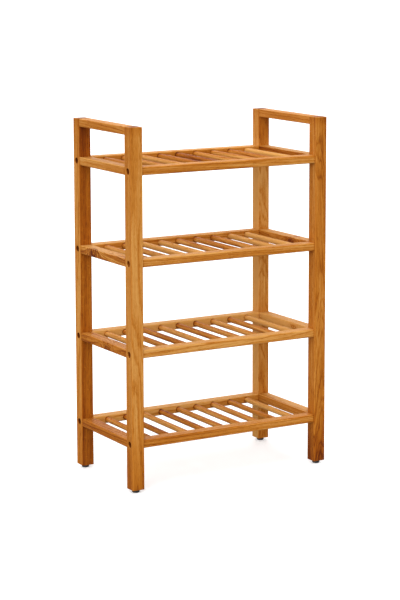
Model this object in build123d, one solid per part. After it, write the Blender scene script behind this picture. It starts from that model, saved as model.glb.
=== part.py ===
from build123d import *
import os

# A free-standing wooden rack with four tiers of round rungs, in millimetres.
# Width runs along X, depth along Y with the front at -Y, and height along Z.
# The origin is on the floor, under the middle of the rack.

# Overall size
rack_width = 500.0
rack_depth = 270.0
rack_height = 800.0

# Posts
post_width = 29.0
post_depth = 28.0
post_edge_radius = 1.5

# Glides under the posts
glide_diameter = 17.0
glide_height = 7.0
glide_edge_radius = 2.5
glide_stem_diameter = 5.0
glide_stem_length = 12.0
glide_hole_depth = 13.0

# Tiers, counted from the bottom
tier_count = 4
lowest_tier_height = 108.0
tier_pitch = 199.0

# Shelf rails: the front and back rail of each tier
shelf_rail_depth = 29.0
shelf_rail_height = 18.0
shelf_rail_setback = 2.0
shelf_rail_edge_radius = 3.0

# Side rails and top rails, which join the front and back post of a side frame
side_rail_width = 28.0
side_rail_height = 18.0
side_rail_edge_radius = 2.0
rail_end_chamfer = 0.6

# Stub tenons of the side rails and top rails
tenon_width = 8.0
tenon_height = 10.0
side_tenon_length = 6.0
top_tenon_length = 14.0
mortise_clearance = 0.5

# Rungs
rung_count = 9
rung_diameter = 12.5
rung_pitch = 46.5
rung_end_chamfer = 0.8
rung_hole_clearance = 0.3
rung_hole_depth = 12.0
rung_hole_chamfer = 0.8

# Bolts through the posts, and threaded inserts in the shelf rails
counterbore_diameter = 14.0
counterbore_depth = 13.0
counterbore_chamfer = 0.5
bolt_hole_diameter = 6.5
bolt_head_diameter = 10.0
bolt_head_height = 6.0
bolt_head_chamfer = 0.5
bolt_diameter = 6.0
bolt_length = 32.0
hex_socket_size = 5.0
hex_socket_depth = 3.0
insert_diameter = 10.0
insert_length = 16.0
insert_hole_depth = 18.0

# Places worked out from the sizes above
post_x = (rack_width - post_width) / 2
post_y = (rack_depth - post_depth) / 2
post_length = rack_height - glide_height
post_inner_x = rack_width / 2 - post_width
post_inner_y = rack_depth / 2 - post_depth
shelf_rail_length = 2 * post_inner_x
shelf_rail_y = (rack_depth - shelf_rail_depth) / 2 - shelf_rail_setback
shelf_rail_inner_y = shelf_rail_y - shelf_rail_depth / 2
side_rail_length = 2 * post_inner_y
top_rail_z = rack_height - side_rail_height / 2
tier_heights = [lowest_tier_height + tier_pitch * tier for tier in range(tier_count)]
rung_places = [rung_pitch * (rung - (rung_count - 1) / 2) for rung in range(rung_count)]

side_signs = {"left": -1, "right": 1}
end_signs = {"front": -1, "back": 1}


def along_x(solid, side_sign):
    """Turn a solid made along +Z from the origin to run along X, inwards from the given side."""
    return solid.rotate(Axis.Y, -90 * side_sign)


def along_y(solid, end_sign):
    """Turn a solid made along +Z from the origin to run along Y, inwards from the given end."""
    return solid.rotate(Axis.X, 90 * end_sign)


def upward_cylinder(diameter, length):
    """A cylinder that stands on the XY plane."""
    return Solid.make_cylinder(diameter / 2, length)


def upward_countersink(diameter, chamfer_size):
    """The cone that breaks the mouth of a hole, with its wide end on the XY plane."""
    return Solid.make_cone(diameter / 2 + chamfer_size, diameter / 2, chamfer_size)


def bolt_recess(side_sign):
    """The counterbore and clearance hole for one bolt, starting at the origin."""
    cutter = upward_cylinder(bolt_hole_diameter, post_width)
    cutter += upward_cylinder(counterbore_diameter, counterbore_depth)
    cutter += upward_countersink(counterbore_diameter, counterbore_chamfer)
    return along_x(cutter, side_sign)


def mortise(height, length, end_sign):
    """The slot in a post for one stub tenon, cut from the post's inner face outwards."""
    depth = length + mortise_clearance
    y = end_sign * (post_inner_y + depth / 2)
    return Pos(0, y, height) * Box(tenon_width, depth, tenon_height)


def make_post(side_sign, end_sign):
    """One post, with its bolt recesses, mortises and the hole for its glide."""
    x = side_sign * post_x
    y = end_sign * post_y
    middle = glide_height + post_length / 2
    post = Pos(x, y, middle) * Box(post_width, post_depth, post_length)
    meeting_edges = post.faces().sort_by(Axis.Y)[0 if end_sign > 0 else -1].edges()
    level_edges = post.edges().filter_by(Axis.Z, reverse=True)
    eased_edges = post.edges().filter_by(Axis.Z) + level_edges.filter_by(
        lambda edge: edge not in meeting_edges
    )
    post = fillet(eased_edges, post_edge_radius)
    outer_x = side_sign * rack_width / 2
    for height in tier_heights:
        post -= Pos(outer_x, y, height) * bolt_recess(side_sign)
        post -= Pos(x, 0, 0) * mortise(height, side_tenon_length, end_sign)
    post -= Pos(x, 0, 0) * mortise(top_rail_z, top_tenon_length, end_sign)
    post -= Pos(x, y, glide_height) * upward_cylinder(glide_stem_diameter, glide_hole_depth)
    return post


def make_side_rail(side_sign, height, tenon_length):
    """A rail of a side frame between its two posts, with a stub tenon on each end."""
    profile = RectangleRounded(side_rail_width, side_rail_height, side_rail_edge_radius)
    rail = extrude(Plane.XZ * profile, side_rail_length / 2, both=True)
    ends = rail.faces().sort_by(Axis.Y)
    rail = chamfer(ends[0].edges() + ends[-1].edges(), rail_end_chamfer)
    rail += Box(tenon_width, side_rail_length + 2 * tenon_length, tenon_height)
    return Pos(side_sign * post_x, 0, height) * rail


def rung_hole(end_sign):
    """The blind hole for one rung end, starting at the origin and running outwards."""
    hole_diameter = rung_diameter + 2 * rung_hole_clearance
    cutter = upward_cylinder(hole_diameter, rung_hole_depth)
    cutter += upward_countersink(hole_diameter, rung_hole_chamfer)
    return along_y(cutter, -end_sign)


def make_shelf_rail(end_sign, height):
    """A front or back rail of one tier, with its rung holes and the holes for its inserts."""
    profile = RectangleRounded(shelf_rail_depth, shelf_rail_height, shelf_rail_edge_radius)
    rail = extrude(Plane.YZ * profile, shelf_rail_length / 2, both=True)
    ends = rail.faces().sort_by(Axis.X)
    rail = chamfer(ends[0].edges() + ends[-1].edges(), rail_end_chamfer)
    rail = Pos(0, end_sign * shelf_rail_y, height) * rail
    for x in rung_places:
        rail -= Pos(x, end_sign * shelf_rail_inner_y, height) * rung_hole(end_sign)
    for side_sign in side_signs.values():
        hole = along_x(upward_cylinder(insert_diameter, insert_hole_depth), side_sign)
        rail -= Pos(side_sign * post_inner_x, end_sign * post_y, height) * hole
    return rail


def make_rung(x, height):
    """One round rung, reaching the bottoms of its two blind holes."""
    rung_length = 2 * (shelf_rail_inner_y + rung_hole_depth)
    rung = Cylinder(rung_diameter / 2, rung_length)
    rung = chamfer(rung.edges().filter_by(GeomType.CIRCLE), rung_end_chamfer)
    return Pos(x, 0, height) * rung.rotate(Axis.X, 90)


def make_bolt(side_sign):
    """One socket-head bolt, with the top of its recess at the origin."""
    head = Pos(0, 0, counterbore_depth - bolt_head_height) * upward_cylinder(
        bolt_head_diameter, bolt_head_height
    )
    outer_rim = head.edges().filter_by(GeomType.CIRCLE).sort_by(Axis.Z)[0]
    head = chamfer(outer_rim, bolt_head_chamfer)
    socket = extrude(RegularPolygon(hex_socket_size / 2, 6, major_radius=False), hex_socket_depth)
    head -= Pos(0, 0, counterbore_depth - bolt_head_height) * socket
    shank = Pos(0, 0, counterbore_depth) * upward_cylinder(bolt_diameter, bolt_length)
    return along_x(head + shank, side_sign)


def make_insert(side_sign):
    """One threaded insert, with its mouth at the origin."""
    sleeve = upward_cylinder(insert_diameter, insert_length)
    sleeve -= upward_cylinder(bolt_diameter, insert_length)
    return along_x(sleeve, side_sign)


def make_shelf_fasteners():
    """All the bolts and threaded inserts, as separate solids."""
    pieces = []
    for side_sign in side_signs.values():
        for end_sign in end_signs.values():
            y = end_sign * post_y
            for height in tier_heights:
                pieces.append(Pos(side_sign * rack_width / 2, y, height) * make_bolt(side_sign))
                pieces.append(Pos(side_sign * post_inner_x, y, height) * make_insert(side_sign))
    return Compound(children=pieces)


def make_glide():
    """One plastic glide with its stem, standing on the floor at the origin."""
    disc = upward_cylinder(glide_diameter, glide_height)
    floor_rim = disc.edges().filter_by(GeomType.CIRCLE).sort_by(Axis.Z)[0]
    disc = fillet(floor_rim, glide_edge_radius)
    stem = Pos(0, 0, glide_height) * upward_cylinder(glide_stem_diameter, glide_stem_length)
    return disc + stem


def make_foot_glides():
    """The four glides, as separate solids."""
    places = [(x * post_x, y * post_y) for x in side_signs.values() for y in end_signs.values()]
    return Compound(children=[Pos(x, y, 0) * make_glide() for x, y in places])


def save(shape, name):
    """Write one sub-part under the name of its node."""
    export_step(shape, f"parts/{name}.step")


os.makedirs("parts", exist_ok=True)

for side, side_sign in side_signs.items():
    for end, end_sign in end_signs.items():
        save(make_post(side_sign, end_sign), f"{side}_{end}_post")
    save(make_side_rail(side_sign, top_rail_z, top_tenon_length), f"{side}_top_rail")
    for tier, height in enumerate(tier_heights, start=1):
        save(make_side_rail(side_sign, height, side_tenon_length), f"{side}_side_rail_{tier}")

for tier, height in enumerate(tier_heights, start=1):
    for end, end_sign in end_signs.items():
        save(make_shelf_rail(end_sign, height), f"{end}_shelf_rail_{tier}")
    for number, x in enumerate(rung_places, start=1):
        save(make_rung(x, height), f"rung_{tier}_{number}")

save(make_shelf_fasteners(), "shelf_fasteners")
save(make_foot_glides(), "foot_glides")
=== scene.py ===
import math
import random

import bpy
from mathutils import Matrix, Vector


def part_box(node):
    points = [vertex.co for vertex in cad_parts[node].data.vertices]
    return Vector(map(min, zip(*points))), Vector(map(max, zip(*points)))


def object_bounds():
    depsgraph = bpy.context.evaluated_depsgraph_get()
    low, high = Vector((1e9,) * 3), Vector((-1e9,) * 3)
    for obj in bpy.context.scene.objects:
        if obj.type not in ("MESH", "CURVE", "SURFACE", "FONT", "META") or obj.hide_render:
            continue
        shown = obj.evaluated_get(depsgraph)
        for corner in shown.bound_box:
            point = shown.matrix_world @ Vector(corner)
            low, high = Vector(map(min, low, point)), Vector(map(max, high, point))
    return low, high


# The looks of an oiled oak rack with round rungs, in metres, around the fixed frame.
#
# The CAD pieces keep their shapes. Each wooden piece is cut from its own place in a log, which is a
# solid texture, so growth rings, pores and fibres run through the piece and show on its ends.

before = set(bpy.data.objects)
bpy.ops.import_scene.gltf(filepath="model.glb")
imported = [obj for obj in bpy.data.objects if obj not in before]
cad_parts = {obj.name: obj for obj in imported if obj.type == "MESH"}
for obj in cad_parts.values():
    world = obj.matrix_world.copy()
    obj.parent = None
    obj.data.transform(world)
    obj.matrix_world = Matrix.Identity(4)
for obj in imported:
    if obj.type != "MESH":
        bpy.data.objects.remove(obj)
cad_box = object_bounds()

WHITE = (1.0, 1.0, 1.0, 1.0)
ALONG_X, ALONG_Y, ALONG_Z = "x", "y", "z"

# Every angle in these values is in degrees.

# Camera: the point that it faces, from the middle of the rack, and where it stands from that point
CAMERA_AIM = Vector((0.0691, -0.0139, 0.1639))
CAMERA_DISTANCE = 4.4056
CAMERA_AZIMUTH = -31.083
CAMERA_ELEVATION = 8.256
CAMERA_SHIFT = (-0.05, -0.1333)
CAMERA_LENS = 116.572
SENSOR_WIDTH = 36.0

# Suns: (name, azimuth, elevation, spread, power)
SUNS = [
    ("key_light", -45.0, 25.0, 50.0, 1.75),
    ("overhead_light", -30.0, 75.0, 60.0, 1.6),
    ("back_light", 160.0, 40.0, 60.0, 1.4),
]

# Light from the surroundings: (height, from 0 straight down to 1 straight up, strength)
SURROUNDINGS = [(0.45, 0.45), (0.48, 0.8), (0.72, 0.8), (0.80, 0.3)]
BACKDROP_STRENGTH = 1.05

# Floor
FLOOR_HALF_SIZE = 60.0
FLOOR_COLOUR = (0.8, 0.8, 0.8, 1.0)
FLOOR_ROUGHNESS = 0.9
FLOOR_GLOW = 0.42

# Oak: the number of features per metre across the log (X and Y) and along it (Z), and how far the
# two kinds of wave push the grain
SLOW_WAVES = (9.0, 9.0, 1.6)
SLOW_WAVE_SIZE = 0.022
QUICK_WAVES = (75.0, 75.0, 11.0)
QUICK_WAVE_SIZE = 0.0045
STREAKS = (230.0, 230.0, 3.5)
FIBRES = (900.0, 900.0, 14.0)
PORES = (2100.0, 2100.0, 75.0)
PATCHES = (16.0, 16.0, 3.0)

# Growth rings. RING_WANDER is how many years the rings stray from an even spacing, and the two
# numbers after it say how often. EARLY_WOOD is (share of the ring, how porous the wood is there).
RING_WIDTH = 0.0036
RING_WANDER = 2.5
RING_WANDER_ACROSS = 140.0
RING_WANDER_ALONG = 0.05
EARLY_WOOD = [(0.0, 0.75), (0.10, 1.0), (0.34, 0.42), (0.60, 0.08), (0.94, 0.22), (1.0, 0.7)]

# Bands of several rings: how wide they are, and how slowly they change round and along the log
BAND_WIDTH = 0.013
BAND_DRIFT = 20.0
BAND_ROUND = 0.02
BAND_ALONG = 0.012

# Pores show where their noise is over PORE_LEVEL, and early wood lowers that level. Rays are short
# flecks: features per radian round the log, and per metre outwards and along it.
PORE_LEVEL = 0.70
PORE_OPENING = 0.15
PORE_EDGE = 0.07
RAYS = (55.0, 65.0, 150.0)
RAY_LEVELS = (0.66, 0.74)

# The colours of oak, from the palest shade at 0 to the darkest at 1
OAK_TONES = [
    (0.0, (0.66, 0.320, 0.080, 1.0)),
    (0.25, (0.53, 0.195, 0.026, 1.0)),
    (0.50, (0.42, 0.128, 0.009, 1.0)),
    (0.75, (0.29, 0.068, 0.004, 1.0)),
    (1.0, (0.13, 0.024, 0.003, 1.0)),
]

# How much each feature adds to the shade. Contrast spreads the shades around STEADY_SHADE.
PLAIN_SHADE = 0.14
STEADY_SHADE = 0.25
EARLY_WOOD_SHADE = 0.16
BAND_SHADE = 0.38
STREAK_SHADE = 0.45
FIBRE_SHADE = 0.35
PATCH_SHADE = 0.40
SWIRL_SHADE = 0.14
RAY_SHADE = -0.10
PORE_SHADE = 0.30
KNOT_SHADE = 0.42
END_GRAIN_SHADE = 0.10
END_GRAIN_LEVELS = (0.55, 0.95)

# Surface of the oak: roughness, and the height of each feature as a share of GRAIN_DEPTH
OAK_ROUGHNESS = 0.46
FIBRE_ROUGHNESS = 0.16
PORE_ROUGHNESS = 0.25
FIBRE_HEIGHT = 0.35
EARLY_WOOD_HEIGHT = -0.25
PORE_HEIGHT = -1.0
GRAIN_DEPTH = 0.0003
GRAIN_STRENGTH = 0.6
OAK_SPECULAR = 0.06

# Knots. KNOT_EDGE is in features per metre and KNOT_RAGGEDNESS in metres. The others count in the
# knot's own radius: its pairs are where a smooth step starts and ends, from the outside in.
KNOT_EDGE = (90.0, 90.0, 60.0)
KNOT_RAGGEDNESS = 0.010
KNOT_STRETCH = (1.0, 1.0, 0.5)
KNOT_BEND_FALL = -0.35
KNOT_PUSH = 2.2
KNOT_CORE = (1.05, 0.55)
KNOT_RINGS = 15.0
KNOT_SWIRL = (2.4, 0.6)

# Where a piece is cut from, drawn by its name: the least and most metres from the pith, degrees
# that the log leans, and metres along the log
PITH_RANGE = (0.045, 0.11)
LEAN_RANGE = (0.4, 1.8)
START_RANGE = (0.0, 40.0)

# Eased edges wear a little paler, in patches. FLAT_TO_ROUNDED is the largest part of the normal.
FLAT_TO_ROUNDED = (0.995, 0.80)
WEAR_PATCHES = (60.0, 60.0, 60.0)
WEAR_LEVELS = (0.35, 0.65)
EDGE_WEAR = 0.06

# Tones: how much lighter the wood is. The top tone is painted light from above: faces that look up
# are lighter, and faces that look down darker by as much. The bore tone is painted shade inside a
# post's bores, and BORE_EDGE is how deep under a post's faces that painted shade starts and ends,
# in metres.
TOP_PAINTED_LIGHT = 0.13
BORE_PAINTED_SHADE = -0.7
BORE_EDGE = (0.0008, 0.003)
RUNG_TONE_RANGE = (-0.26, 0.16)
RUNG_TONES_BY_TIER = [-0.26, -0.16, -0.12, -0.30]
LAST_RUNG = "9"
LAST_RUNG_TONE = 0.40
# The rungs' sides that face along X are lighter, and their faces across Z darker: painted light and
# shade round each rung.
RUNG_FACES_PAINTED_LIGHT = (0.35, 0.0, -0.1)
RUNG_CONTRAST = 1.4

# Drifts: (share of the piece's length, how much lighter). The ends that meet another piece are
# darker: painted shade in the joint.
SIDE_RAIL_DRIFT = [
    (0.026, -0.35), (0.036, -0.05), (0.06, 0.0), (0.94, 0.0), (0.964, -0.05), (0.974, -0.35)
]
SHELF_RAIL_DRIFT = [
    (0.0, -0.35), (0.005, -0.05), (0.015, 0.0), (0.985, 0.0), (0.995, -0.05), (1.0, -0.35)
]
RUNG_DRIFT = [
    (0.052, -0.45), (0.075, -0.15), (0.12, 0.0), (0.88, 0.0), (0.925, -0.15), (0.948, -0.45)
]
POST_END_PAINTED_SHADE = -0.2

# Bolts and glides: a dark coat, with smudges that are darker and change the gloss
SMUDGES = (150.0, 150.0, 150.0)
SMUDGE_COLOUR = 0.6
SMUDGE_ROUGHNESS = 0.25
COAT_GRAIN_STRENGTH = 0.5
HARDWARE = {
    "shelf_fasteners": dict(
        material_name="bolt_steel", colour=(0.03, 0.018, 0.010, 1.0), roughness=0.55,
        metallic=0.3, grain_per_metre=3000.0, grain_height=0.00005,
    ),
    "foot_glides": dict(
        material_name="glide_plastic", colour=(0.018, 0.017, 0.016, 1.0), roughness=0.40,
        metallic=0.0, grain_per_metre=2500.0, grain_height=0.00008,
    ),
}

# Sockets of the Mix node that share their names with others
MIX_FLOAT_A, MIX_FLOAT_B = 2, 3
MIX_COLOUR_A, MIX_COLOUR_B = 6, 7
MIX_COLOUR_RESULT = 2


# --- Node trees -----------------------------------------------------------------------------------


class Tree:
    """A shader node tree, built by calls that return the socket they make."""

    def __init__(self, tree):
        self.nodes = tree.nodes
        self.links = tree.links

    def feed(self, socket, value):
        """Link a socket to a socket, or set it to a plain value."""
        if isinstance(value, bpy.types.NodeSocket):
            self.links.new(value, socket)
        else:
            socket.default_value = value

    def add(self, kind, inputs=None, **settings):
        """Add a node with its settings, and feed its inputs by name or number."""
        node = self.nodes.new(kind)
        for name, value in settings.items():
            setattr(node, name, value)
        for key, value in (inputs or {}).items():
            self.feed(node.inputs[key], value)
        return node

    def math(self, operation, *values, clamp=False):
        inputs = dict(enumerate(values))
        return self.add("ShaderNodeMath", inputs, operation=operation, use_clamp=clamp).outputs[0]

    def plus(self, total, value, weight):
        """A total plus a value times its weight."""
        return self.math("MULTIPLY_ADD", value, weight, total)

    def centred(self, value):
        """A value from 0 to 1, moved to lie around 0."""
        return self.math("SUBTRACT", value, 0.5)

    def vector(self, operation, *values):
        inputs = dict(enumerate(values))
        node = self.add("ShaderNodeVectorMath", inputs, operation=operation)
        return node.outputs["Value" if operation in ("LENGTH", "DOT_PRODUCT") else "Vector"]

    def scale(self, value, factor):
        """A vector times one number."""
        inputs = {"Vector": value, "Scale": factor}
        return self.add("ShaderNodeVectorMath", inputs, operation="SCALE").outputs[0]

    def split(self, value):
        """The X, Y and Z of a vector."""
        return self.add("ShaderNodeSeparateXYZ", {0: value}).outputs

    def join(self, x, y, z):
        return self.add("ShaderNodeCombineXYZ", {0: x, 1: y, 2: z}).outputs[0]

    def noise(self, position, per_metre, detail=2.0, roughness=0.5, output="Fac"):
        """Noise with its own number of features per metre on each axis."""
        stretched = self.vector("MULTIPLY", position, per_metre)
        inputs = {"Vector": stretched, "Scale": 1.0, "Detail": detail, "Roughness": roughness}
        return self.add("ShaderNodeTexNoise", inputs).outputs[output]

    def shifts(self, position, per_metre, detail=2.0):
        """Noise as a vector around 0, with its own number of features per metre on each axis."""
        colours = self.noise(position, per_metre, detail, output="Color")
        return self.vector("SUBTRACT", colours, (0.5, 0.5, 0.5))

    def step(self, value, low, high):
        """A smooth step from 0 at low to 1 at high. With low above high, it falls."""
        inputs = {"Value": value, "From Min": low, "From Max": high}
        node = self.add("ShaderNodeMapRange", inputs, interpolation_type="SMOOTHSTEP")
        return node.outputs["Result"]

    def ramp(self, value, stops):
        """A colour ramp through (place, colour) stops."""
        node = self.add("ShaderNodeValToRGB", {"Fac": value})
        elements = node.color_ramp.elements
        while len(elements) < len(stops):
            elements.new(0.5)
        for element, (place, colour) in zip(elements, stops):
            element.position = place
            element.color = colour
        return node.outputs["Color"]

    def curve(self, value, stops):
        """A grey ramp through (place, level) stops."""
        return self.ramp(value, [(place, (level, level, level, 1.0)) for place, level in stops])

    def mix(self, factor, a, b):
        """Mix two colours."""
        inputs = {"Factor": factor, MIX_COLOUR_A: a, MIX_COLOUR_B: b}
        return self.add("ShaderNodeMix", inputs, data_type="RGBA").outputs[MIX_COLOUR_RESULT]


def new_group(name, inputs, outputs):
    """A node group with the given sockets, as its tree, its input sockets and its output node."""
    group = bpy.data.node_groups.new(name, "ShaderNodeTree")
    for direction, sockets in (("INPUT", inputs), ("OUTPUT", outputs)):
        for socket_name, kind in sockets.items():
            group.interface.new_socket(socket_name, in_out=direction, socket_type=kind)
    tree = Tree(group)
    entry = tree.add("NodeGroupInput").outputs
    leave = tree.add("NodeGroupOutput")
    return group, tree, entry, leave


def new_material(name):
    """An empty material and its tree."""
    material = bpy.data.materials.new(name)
    material.use_nodes = True
    material.node_tree.nodes.clear()
    return material, Tree(material.node_tree)


# --- Oak ------------------------------------------------------------------------------------------


def make_knot_group():
    """Bends the rings of a log round one knot, and says how far inside the knot a point is."""
    group, tree, entry, leave = new_group(
        "knot",
        {"Position": "NodeSocketVector", "Centre": "NodeSocketVector", "Radius": "NodeSocketFloat"},
        {"Position": "NodeSocketVector", "Core": "NodeSocketFloat", "Swirl": "NodeSocketFloat"},
    )
    position, centre, radius = entry["Position"], entry["Centre"], entry["Radius"]

    # Distance from the branch that grew outwards through the centre, with a ragged edge
    ragged = tree.scale(tree.shifts(position, KNOT_EDGE), KNOT_RAGGEDNESS)
    offset = tree.vector("ADD", tree.vector("SUBTRACT", position, centre), ragged)
    outward = tree.vector("NORMALIZE", tree.vector("MULTIPLY", centre, (1.0, 1.0, 0.0)))
    along_branch = tree.scale(outward, tree.vector("DOT_PRODUCT", offset, outward))
    across_branch = tree.vector("SUBTRACT", offset, along_branch)
    across_branch = tree.vector("MULTIPLY", across_branch, KNOT_STRETCH)
    distance = tree.math("DIVIDE", tree.vector("LENGTH", across_branch), radius)

    squared = tree.math("MULTIPLY", distance, distance)
    bend = tree.math("EXPONENT", tree.math("MULTIPLY", squared, KNOT_BEND_FALL))
    push = tree.math("MULTIPLY", bend, tree.math("MULTIPLY", radius, KNOT_PUSH))
    rings = tree.math("SINE", tree.math("MULTIPLY", distance, KNOT_RINGS))
    swirl = tree.math("MULTIPLY", rings, tree.step(distance, *KNOT_SWIRL))
    tree.feed(leave.inputs["Position"], tree.vector("ADD", position, tree.scale(outward, push)))
    tree.feed(leave.inputs["Core"], tree.step(distance, *KNOT_CORE))
    tree.feed(leave.inputs["Swirl"], swirl)
    return group


def make_oak_group():
    """The colour, roughness and height of oak at a place in a log.

    The log runs along Z, with its pith on the Z axis."""
    group, tree, entry, leave = new_group(
        "oak",
        {
            "Position": "NodeSocketVector",
            "Normal": "NodeSocketVector",
            "Core": "NodeSocketFloat",
            "Swirl": "NodeSocketFloat",
            "Waves": "NodeSocketFloat",
            "Tone": "NodeSocketFloat",
            "Contrast": "NodeSocketFloat",
            "Edge Wear": "NodeSocketFloat",
        },
        {"Color": "NodeSocketColor", "Roughness": "NodeSocketFloat", "Height": "NodeSocketFloat"},
    )
    position, waves = entry["Position"], entry["Waves"]

    # The log isn't straight: slow waves along it, and small ones across it.
    slow = tree.scale(
        tree.shifts(position, SLOW_WAVES, 1.0), tree.math("MULTIPLY", waves, SLOW_WAVE_SIZE)
    )
    quick = tree.scale(
        tree.shifts(position, QUICK_WAVES), tree.math("MULTIPLY", waves, QUICK_WAVE_SIZE)
    )
    bent = tree.vector("ADD", tree.vector("ADD", position, slow), quick)
    x, y, z = tree.split(bent)
    radius = tree.vector("LENGTH", tree.join(x, y, 0.0))
    angle = tree.math("ARCTAN2", y, x)

    # Growth rings: porous early wood at the start of each ring, then smooth late wood.
    wander_place = tree.join(radius, 0.0, tree.math("MULTIPLY", z, RING_WANDER_ALONG))
    wander = tree.noise(wander_place, (RING_WANDER_ACROSS, 1.0, 1.0), 1.0)
    years = tree.plus(tree.math("DIVIDE", radius, RING_WIDTH), wander, RING_WANDER)
    early = tree.curve(tree.math("FRACT", years), EARLY_WOOD)
    band_place = tree.join(
        radius, tree.math("MULTIPLY", angle, BAND_ROUND), tree.math("MULTIPLY", z, BAND_ALONG)
    )
    bands = tree.noise(band_place, (1.0 / BAND_WIDTH, BAND_DRIFT, BAND_DRIFT))

    # Fibres, pores and rays, and patches larger than the rings
    fibres = tree.noise(bent, FIBRES, 3.0, 0.6)
    streaks = tree.noise(bent, STREAKS, 2.0, 0.55)
    patches = tree.noise(position, PATCHES)
    pore_level = tree.plus(PORE_LEVEL, early, -PORE_OPENING)
    pore_depth = tree.math("SUBTRACT", tree.noise(bent, PORES, 0.0), pore_level)
    pores = tree.step(pore_depth, 0.0, PORE_EDGE)
    rays = tree.step(tree.noise(tree.join(angle, radius, z), RAYS, 1.0), *RAY_LEVELS)

    shade = tree.plus(PLAIN_SHADE, early, EARLY_WOOD_SHADE)
    shade = tree.plus(shade, tree.centred(bands), BAND_SHADE)
    shade = tree.plus(shade, tree.centred(streaks), STREAK_SHADE)
    shade = tree.plus(shade, tree.centred(fibres), FIBRE_SHADE)
    shade = tree.plus(shade, tree.centred(patches), PATCH_SHADE)
    shade = tree.plus(shade, entry["Swirl"], SWIRL_SHADE)
    shade = tree.plus(shade, rays, RAY_SHADE)
    from_steady = tree.math("SUBTRACT", shade, STEADY_SHADE)
    shade = tree.plus(STEADY_SHADE, from_steady, entry["Contrast"])
    shade = tree.plus(shade, pores, PORE_SHADE)
    shade = tree.plus(shade, entry["Core"], KNOT_SHADE)

    # Cut ends drink more oil and turn darker.
    across = tree.split(tree.vector("ABSOLUTE", entry["Normal"]))
    shade = tree.plus(shade, tree.step(across[2], *END_GRAIN_LEVELS), END_GRAIN_SHADE)
    shade = tree.math("SUBTRACT", shade, entry["Edge Wear"])
    shade = tree.math("SUBTRACT", shade, entry["Tone"], clamp=True)

    roughness = tree.plus(tree.plus(OAK_ROUGHNESS, fibres, FIBRE_ROUGHNESS), pores, PORE_ROUGHNESS)
    height = tree.math("MULTIPLY", early, EARLY_WOOD_HEIGHT)
    height = tree.plus(tree.plus(height, fibres, FIBRE_HEIGHT), pores, PORE_HEIGHT)
    tree.feed(leave.inputs["Color"], tree.ramp(shade, OAK_TONES))
    tree.feed(leave.inputs["Roughness"], roughness)
    tree.feed(leave.inputs["Height"], height)
    return group


KNOT_GROUP = make_knot_group()
OAK_GROUP = make_oak_group()

TURN_TO_GRAIN = {
    ALONG_X: Matrix.Rotation(math.radians(-90.0), 3, "Y"),
    ALONG_Y: Matrix.Rotation(math.radians(90.0), 3, "X"),
    ALONG_Z: Matrix.Identity(3),
}


def inside_bore(tree, place, low, high):
    """1 inside the bores of a post, where the painted shade goes, and 0 on its outside."""
    depths = []
    coordinates = tree.split(place)
    for axis in (0, 1):
        depths.append(tree.math("SUBTRACT", coordinates[axis], low[axis]))
        depths.append(tree.math("SUBTRACT", high[axis], coordinates[axis]))
    across_x = tree.math("MINIMUM", depths[0], depths[1])
    across_y = tree.math("MINIMUM", depths[2], depths[3])
    return tree.step(tree.math("MINIMUM", across_x, across_y), *BORE_EDGE)


def piece_tone(tree, place, surface, grain, low, high, tone, faces, drift):
    """How much lighter the wood is at a place on a piece, as oak_material says, with painted light
    and shade in it.
    """
    squared = tree.vector("MULTIPLY", surface, surface)
    total = tree.math("ADD", tree.vector("DOT_PRODUCT", squared, faces), tone)
    # Painted light from above: faces that look up are lighter, and faces that look down darker
    total = tree.plus(total, tree.split(surface)[2], TOP_PAINTED_LIGHT)
    # Painted shade along the piece, from its drift: its ends at the joints, and a post's foot and
    # handle
    if drift:
        axis = (ALONG_X, ALONG_Y, ALONG_Z).index(grain)
        span = {"Value": tree.split(place)[axis], "From Min": low[axis], "From Max": high[axis]}
        share = tree.add("ShaderNodeMapRange", span).outputs["Result"]
        level = tree.curve(share, [(stop, 0.5 + change) for stop, change in drift])
        along = tree.split(surface)[axis]
        off_the_ends = tree.plus(1.0, tree.math("MULTIPLY", along, along), -1.0)
        total = tree.plus(total, tree.centred(level), off_the_ends)
    if grain == ALONG_Z:
        # Painted shade inside the bores of a post
        total = tree.plus(total, inside_bore(tree, place, low, high), BORE_PAINTED_SHADE)
    return total


def edge_wear(tree, place, surface):
    """How much paler the wood is on its eased edges."""
    axes = tree.split(tree.vector("ABSOLUTE", surface))
    flatness = tree.math("MAXIMUM", tree.math("MAXIMUM", axes[0], axes[1]), axes[2])
    rounded = tree.step(flatness, *FLAT_TO_ROUNDED)
    patchy = tree.step(tree.noise(place, WEAR_PATCHES, 3.0), *WEAR_LEVELS)
    return tree.math("MULTIPLY", rounded, tree.math("MULTIPLY", patchy, EDGE_WEAR))


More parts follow.
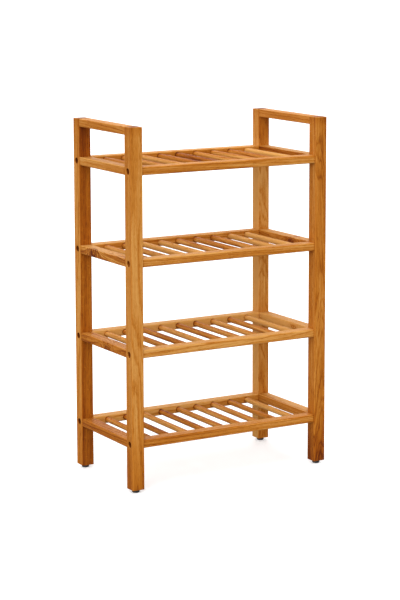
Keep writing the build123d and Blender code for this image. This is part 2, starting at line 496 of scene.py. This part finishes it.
def oak_material(
    name, grain, tone=0.0, faces=(0.0, 0.0, 0.0), drift=None, contrast=1.0, waves=1.0,
    pith=None, turn=None, lean=None, knot=None, eased=True,
):
    """Oak for one piece, cut from its own place in a log.

    grain is the axis that the piece is long in. A tone is how much lighter the wood is: tone
    everywhere, faces on the faces across X, Y and Z, and drift at (share of the length, tone) along
    the piece. pith is how far its middle is from the middle of the log. turn, in degrees, is the
    side that the log's middle is on, and lean how far the log leans from the piece. All three are
    drawn by name unless given. A knot is (place from the piece's middle, radius)."""
    draw = random.Random(name)
    drawn_pith = draw.uniform(*PITH_RANGE)
    drawn_turn = draw.uniform(0.0, 2.0 * math.pi)
    drawn_lean = math.radians(draw.uniform(*LEAN_RANGE))
    drawn_start = draw.uniform(*START_RANGE)
    pith = drawn_pith if pith is None else pith
    turn = drawn_turn if turn is None else math.radians(turn)
    lean = drawn_lean if lean is None else math.radians(lean)

    low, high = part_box(name)
    middle = (low + high) / 2
    turned = Matrix.Rotation(lean, 3, "Y") @ Matrix.Rotation(turn, 3, "Z") @ TURN_TO_GRAIN[grain]
    rotation = turned.to_euler("XYZ")
    start = Vector((pith, 0.0, drawn_start))

    material, tree = new_material(f"oak_{name}")
    place = tree.add("ShaderNodeTexCoord").outputs["Object"]
    surface = tree.add("ShaderNodeNewGeometry").outputs["Normal"]
    position = tree.add(
        "ShaderNodeMapping",
        {"Vector": place, "Location": start - turned @ middle, "Rotation": rotation},
        vector_type="POINT",
    ).outputs[0]
    normal = tree.add(
        "ShaderNodeMapping", {"Vector": surface, "Rotation": rotation}, vector_type="VECTOR"
    ).outputs[0]
    oak_inputs = {
        "Normal": normal,
        "Waves": waves,
        "Tone": piece_tone(tree, place, surface, grain, low, high, tone, faces, drift),
        "Contrast": contrast,
    }
    if knot:
        knot_place, knot_radius = knot
        bent = tree.add("ShaderNodeGroup", node_tree=KNOT_GROUP)
        tree.feed(bent.inputs["Position"], position)
        tree.feed(bent.inputs["Centre"], start + turned @ Vector(knot_place))
        tree.feed(bent.inputs["Radius"], knot_radius)
        oak_inputs["Core"] = bent.outputs["Core"]
        oak_inputs["Swirl"] = bent.outputs["Swirl"]
        position = bent.outputs["Position"]
    oak_inputs["Position"] = position
    if eased:
        oak_inputs["Edge Wear"] = edge_wear(tree, place, surface)
    oak = tree.add("ShaderNodeGroup", node_tree=OAK_GROUP)
    for socket_name, value in oak_inputs.items():
        tree.feed(oak.inputs[socket_name], value)

    bump = tree.add(
        "ShaderNodeBump",
        {"Height": oak.outputs["Height"], "Strength": GRAIN_STRENGTH, "Distance": GRAIN_DEPTH},
    )
    shader = tree.add(
        "ShaderNodeBsdfPrincipled",
        {
            "Base Color": oak.outputs["Color"],
            "Roughness": oak.outputs["Roughness"],
            "Normal": bump.outputs["Normal"],
            "Specular IOR Level": OAK_SPECULAR,
        },
    )
    tree.add("ShaderNodeOutputMaterial", {"Surface": shader.outputs[0]})
    return material


def post_drift(foot, top):
    """The drift of a post, painted shade: darker by foot at its foot, by top beside its handle
    under the top rail, and more at its top end.
    """
    return [
        (0.0, -foot), (0.06, -0.85 * foot), (0.14, -0.4 * foot), (0.24, -0.1 * foot), (0.35, 0.0),
        (0.86, 0.0), (0.92, -top), (0.97, -top), (1.0, -top + POST_END_PAINTED_SHADE),
    ]


# What sets each piece's oak apart. The tones on its faces are partly the wood's own and partly
# painted light and shade, a face lighter or darker by how the light falls on it, as on the left
# back post's dark front face.
LOOKS = {
    "left_front_post": dict(faces=(-0.03, 0.07, 0.0), drift=post_drift(0.40, 0.05)),
    "left_back_post": dict(faces=(0.0, -0.42, 0.0), drift=post_drift(0.20, 0.14), contrast=1.2),
    "right_front_post": dict(
        faces=(-0.24, -0.28, 0.0), drift=post_drift(0.42, 0.0), contrast=1.5, waves=2.0,
        turn=90.0, pith=0.03, lean=2.5,
    ),
    "right_back_post": dict(
        faces=(0.45, 0.0, 0.0), drift=post_drift(0.28, 0.38), contrast=1.3, waves=1.5,
        turn=90.0, pith=0.035, lean=3.0,
    ),
    "left_top_rail": dict(tone=-0.08, contrast=1.3),
    "right_top_rail": dict(tone=-0.15, contrast=1.3),
    "left_side_rail_4": dict(tone=-0.12, contrast=1.4),
    "left_side_rail_3": dict(
        faces=(-0.40, 0.0, -0.1), contrast=2.8, waves=2.8, lean=4.0,
        knot=((-0.016, 0.045, 0.003), 0.010),
    ),
    "left_side_rail_2": dict(
        faces=(-0.38, 0.0, -0.25), contrast=2.2, waves=2.4, knot=((0.0, -0.02, 0.0), 0.008)
    ),
    "left_side_rail_1": dict(tone=-0.30, contrast=1.6),
    "right_side_rail_4": dict(faces=(-0.45, 0.0, 0.0), contrast=1.4),
    "right_side_rail_3": dict(
        faces=(-0.28, 0.0, 0.0), contrast=1.6, waves=2.0, knot=((-0.015, -0.03, 0.0), 0.008)
    ),
    "right_side_rail_2": dict(
        faces=(0.25, 0.0, 0.0), contrast=1.4, waves=1.6, knot=((-0.014, -0.045, 0.0), 0.007)
    ),
    "right_side_rail_1": dict(faces=(-0.15, 0.0, 0.0), contrast=1.4),
    "front_shelf_rail_4": dict(tone=-0.05, contrast=1.6),
    "front_shelf_rail_3": dict(tone=-0.08, contrast=1.6),
    "front_shelf_rail_2": dict(tone=0.06, contrast=1.6),
    "front_shelf_rail_1": dict(tone=-0.2, contrast=1.6),
    "back_shelf_rail_4": dict(faces=(0.0, -0.15, 0.0), contrast=1.4),
    "back_shelf_rail_3": dict(faces=(0.0, -0.1, 0.0), contrast=1.4),
    "back_shelf_rail_2": dict(tone=0.38, contrast=1.4),
    "back_shelf_rail_1": dict(faces=(0.0, 0.05, 0.1), contrast=1.4),
}


def rung_tone(name):
    """The tone of a rung, drawn by its name, around its tier's."""
    _, tier, number = name.split("_")
    tone = random.Random(name + " tone").uniform(*RUNG_TONE_RANGE)
    tone += RUNG_TONES_BY_TIER[int(tier) - 1]
    return tone + LAST_RUNG_TONE if number == LAST_RUNG else tone


def kind_look(name):
    """What a piece's oak has in common with others of its kind, or None if it isn't wood."""
    if name.endswith("_post"):
        return dict(grain=ALONG_Z)
    if "shelf_rail" in name:
        return dict(grain=ALONG_X, drift=SHELF_RAIL_DRIFT)
    if "side_rail" in name:
        return dict(grain=ALONG_Y, drift=SIDE_RAIL_DRIFT)
    if "top_rail" in name:
        return dict(grain=ALONG_Y)
    if name.startswith("rung"):
        return dict(
            grain=ALONG_Y, drift=RUNG_DRIFT, tone=rung_tone(name), faces=RUNG_FACES_PAINTED_LIGHT,
            contrast=RUNG_CONTRAST, eased=False,
        )
    return None


def finish_node(name, material):
    """Give a CAD node its material."""
    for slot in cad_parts[name].material_slots:
        slot.material = material


def finish_oak():
    """Give every wooden piece its own oak."""
    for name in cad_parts:
        look = kind_look(name)
        if look:
            look.update(LOOKS.get(name, {}))
            finish_node(name, oak_material(name, **look))


# --- Hardware -------------------------------------------------------------------------------------


def coated_material(material_name, colour, roughness, metallic, grain_per_metre, grain_height):
    """A dark coated or moulded surface with a fine grain and uneven gloss."""
    material, tree = new_material(material_name)
    place = tree.add("ShaderNodeTexCoord").outputs["Object"]
    grain = tree.noise(place, (grain_per_metre,) * 3)
    smudges = tree.noise(place, SMUDGES, 3.0)
    smudged = [channel * SMUDGE_COLOUR for channel in colour[:3]] + [1.0]
    bump = tree.add(
        "ShaderNodeBump",
        {"Height": grain, "Strength": COAT_GRAIN_STRENGTH, "Distance": grain_height},
    )
    shader = tree.add(
        "ShaderNodeBsdfPrincipled",
        {
            "Base Color": tree.mix(smudges, smudged, colour),
            "Roughness": tree.plus(roughness, smudges, SMUDGE_ROUGHNESS),
            "Normal": bump.outputs["Normal"],
            "Metallic": metallic,
        },
    )
    tree.add("ShaderNodeOutputMaterial", {"Surface": shader.outputs[0]})
    return material


def finish_hardware():
    """Give the bolts and the glides their coats."""
    for name, coat in HARDWARE.items():
        finish_node(name, coated_material(**coat))


# --- Studio ---------------------------------------------------------------------------------------


def direction(azimuth, elevation):
    """The way from the rack to a point, by its angles in degrees. Azimuth 0 is the front."""
    azimuth, elevation = math.radians(azimuth), math.radians(elevation)
    level = math.cos(elevation)
    return Vector((math.sin(azimuth) * level, -math.cos(azimuth) * level, math.sin(elevation)))


def add_facing(name, data, towards):
    """Add a camera or lamp that faces against the given direction."""
    thing = bpy.data.objects.new(name, data)
    thing.rotation_euler = towards.to_track_quat("Z", "Y").to_euler()
    bpy.context.scene.collection.objects.link(thing)
    return thing


def make_camera():
    """The photograph's view of the rack."""
    lens = bpy.data.cameras.new("camera")
    lens.sensor_width = SENSOR_WIDTH
    lens.lens = CAMERA_LENS
    lens.shift_x, lens.shift_y = CAMERA_SHIFT
    towards = direction(CAMERA_AZIMUTH, CAMERA_ELEVATION)
    camera = add_facing("camera", lens, towards)
    low, high = cad_box
    camera.location = (low + high) / 2 + CAMERA_AIM + towards * CAMERA_DISTANCE
    bpy.context.scene.camera = camera


def make_suns():
    """Soft lights from far away, so that the whole floor is lit evenly."""
    for name, azimuth, elevation, spread, power in SUNS:
        lamp = bpy.data.lights.new(name, "SUN")
        lamp.energy = power
        lamp.angle = math.radians(spread)
        add_facing(name, lamp, direction(azimuth, elevation))


def make_surroundings():
    """A white backdrop for the camera, and a dimmer room that lights the rack from all sides."""
    world = bpy.data.worlds.new("studio")
    bpy.context.scene.world = world
    world.use_nodes = True
    world.node_tree.nodes.clear()
    tree = Tree(world.node_tree)
    upward = tree.split(tree.add("ShaderNodeTexCoord").outputs["Generated"])[2]
    light = tree.curve(tree.plus(0.5, upward, 0.5), SURROUNDINGS)
    seen = tree.add("ShaderNodeLightPath").outputs["Is Camera Ray"]
    choice = {"Factor": seen, MIX_FLOAT_A: light, MIX_FLOAT_B: BACKDROP_STRENGTH}
    strength = tree.add("ShaderNodeMix", choice, data_type="FLOAT").outputs[0]
    background = tree.add("ShaderNodeBackground", {"Color": WHITE, "Strength": strength})
    tree.add("ShaderNodeOutputWorld", {"Surface": background.outputs[0]})


def make_floor():
    """A plain pale floor that shows shadows. The light that it would bounce is in SURROUNDINGS."""
    size = FLOOR_HALF_SIZE
    corners = [(-size, -size, 0.0), (size, -size, 0.0), (size, size, 0.0), (-size, size, 0.0)]
    mesh = bpy.data.meshes.new("floor")
    mesh.from_pydata(corners, [], [(0, 1, 2, 3)])
    floor = bpy.data.objects.new("floor", mesh)
    bpy.context.scene.collection.objects.link(floor)
    material, tree = new_material("floor")
    shader = tree.add(
        "ShaderNodeBsdfPrincipled",
        {
            "Base Color": FLOOR_COLOUR,
            "Roughness": FLOOR_ROUGHNESS,
            "Specular IOR Level": 0.0,
            "Emission Color": WHITE,
            "Emission Strength": FLOOR_GLOW,
        },
    )
    tree.add("ShaderNodeOutputMaterial", {"Surface": shader.outputs[0]})
    mesh.materials.append(material)
    floor.visible_diffuse = False
    floor.visible_glossy = False


make_camera()
make_surroundings()
make_suns()
make_floor()
finish_oak()
finish_hardware()
bpy.context.scene.view_settings.view_transform = "Standard"
